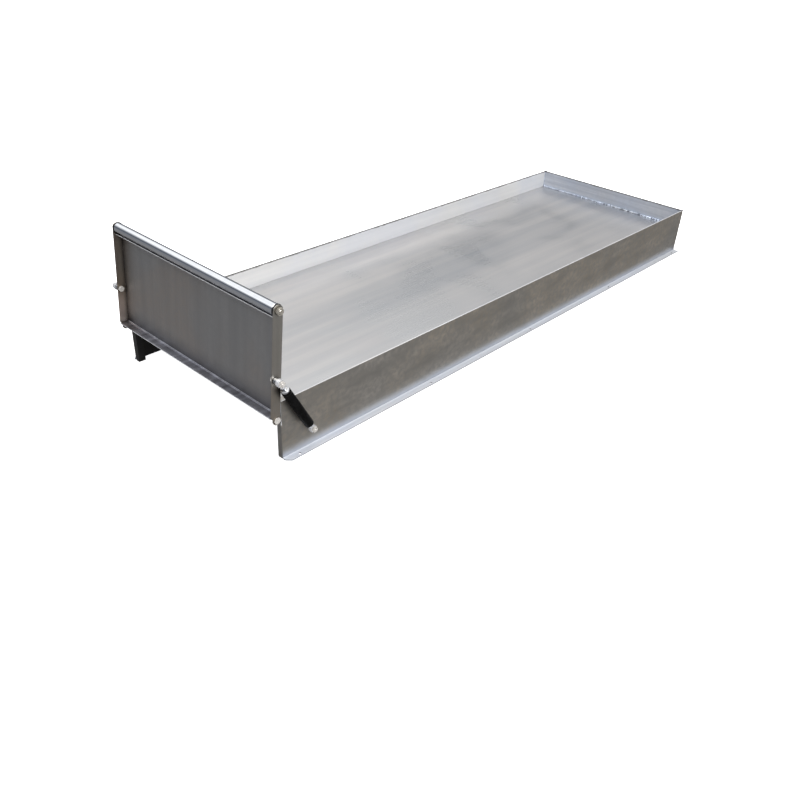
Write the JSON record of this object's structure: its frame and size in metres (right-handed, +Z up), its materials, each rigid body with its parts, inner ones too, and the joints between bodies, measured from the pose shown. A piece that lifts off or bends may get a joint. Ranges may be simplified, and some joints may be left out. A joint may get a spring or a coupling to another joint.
{
  "type": "sluice box",
  "caption": "Long shallow open-topped sheet-metal tray with a raised floor and bolt-down foot flanges, closed by a strut-held drop gate that carries a full-width roller.",
  "frame": {"origin": "on the ground, at the middle of the object's overall length and width", "axes": "+X runs from the gate to the closed end, +Y is the tray's left side, +Z is up"},
  "size_m": [1.9082, 0.6546, 0.3809],
  "materials": {
    "satin": "satin brushed stainless sheet",
    "gate_satin": "satin brushed stainless sheet, grain upright",
    "polished": "polished bright steel",
    "zinc": "bright zinc plate",
    "grey_steel": "turned plain steel",
    "black_paint": "black strut paint, half gloss",
    "black_plastic": "black moulded plastic"
  },
  "bodies": {
    "tray": {"floor_panel": "satin", "back_wall": "satin", "cross_bearer_1": "satin", "cross_bearer_2": "satin", "cross_bearer_3": "satin", "cross_bearer_4": "satin", "right_side_plate": "satin", "right_front_post": "satin", "right_hinge_lug": "satin", "right_hinge_bolt": "zinc", "right_hinge_nut": "zinc", "right_strut_base_bolt": "zinc", "right_strut_base_spacer": "grey_steel", "right_strut_base_nut": "zinc", "left_side_plate": "satin", "left_front_post": "satin", "left_hinge_lug": "satin", "left_hinge_bolt": "zinc", "left_hinge_nut": "zinc", "left_strut_base_bolt": "zinc", "left_strut_base_spacer": "grey_steel", "left_strut_base_nut": "zinc"},
    "gate": {"gate_panel": "gate_satin", "roller_axle": "zinc", "right_gate_cheek": "gate_satin", "right_axle_nut": "zinc", "right_strut_gate_bolt": "zinc", "right_strut_gate_spacer": "grey_steel", "right_strut_gate_nut": "zinc", "left_gate_cheek": "gate_satin", "left_axle_nut": "zinc", "left_strut_gate_bolt": "zinc", "left_strut_gate_spacer": "grey_steel", "left_strut_gate_nut": "zinc"},
    "roller": {"roller_tube": "polished", "right_roller_cap": "black_plastic", "left_roller_cap": "black_plastic"},
    "right_strut_cylinder": {"right_strut_lower_eye": "grey_steel", "right_strut_tube": "black_paint", "right_strut_gland": "grey_steel"},
    "right_strut_piston": {"right_strut_rod": "polished", "right_strut_upper_eye": "grey_steel"},
    "left_strut_cylinder": {"left_strut_lower_eye": "grey_steel", "left_strut_tube": "black_paint", "left_strut_gland": "grey_steel"},
    "left_strut_piston": {"left_strut_rod": "polished", "left_strut_upper_eye": "grey_steel"}
  },
  "joints": [
    {"name": "gate_hinge", "type": "hinge", "parent": "tray", "child": "gate", "pos_m": [-0.93791, 0, 0.11], "axis": [0, -1, 0], "range_deg": [0, 94]},
    {"name": "roller_spin", "type": "hinge", "parent": "gate", "child": "roller", "pos_m": [-0.92346, 0, 0.36763], "axis": [0, 1, 0], "continuous": true},
    {"name": "right_strut_base_pivot", "type": "hinge", "parent": "tray", "child": "right_strut_cylinder", "pos_m": [-0.85076, -0.3155, 0.05701], "axis": [0, -1, 0], "range_deg": [0, 47]},
    {"name": "right_strut_gate_pivot", "type": "hinge", "parent": "gate", "child": "right_strut_piston", "pos_m": [-0.93898, -0.3155, 0.21199], "axis": [0, -1, 0], "range_deg": [-47, 0]},
    {"name": "left_strut_base_pivot", "type": "hinge", "parent": "tray", "child": "left_strut_cylinder", "pos_m": [-0.85076, 0.3155, 0.05701], "axis": [0, -1, 0], "range_deg": [0, 47]},
    {"name": "left_strut_gate_pivot", "type": "hinge", "parent": "gate", "child": "left_strut_piston", "pos_m": [-0.93898, 0.3155, 0.21199], "axis": [0, -1, 0], "range_deg": [-47, 0]}
  ],
  "couplings": [
    {"joint": "right_strut_base_pivot", "follows": "gate_hinge", "ratio": 0.5},
    {"joint": "right_strut_gate_pivot", "follows": "gate_hinge", "ratio": -0.5},
    {"joint": "left_strut_base_pivot", "follows": "gate_hinge", "ratio": 0.5},
    {"joint": "left_strut_gate_pivot", "follows": "gate_hinge", "ratio": -0.5}
  ]
}
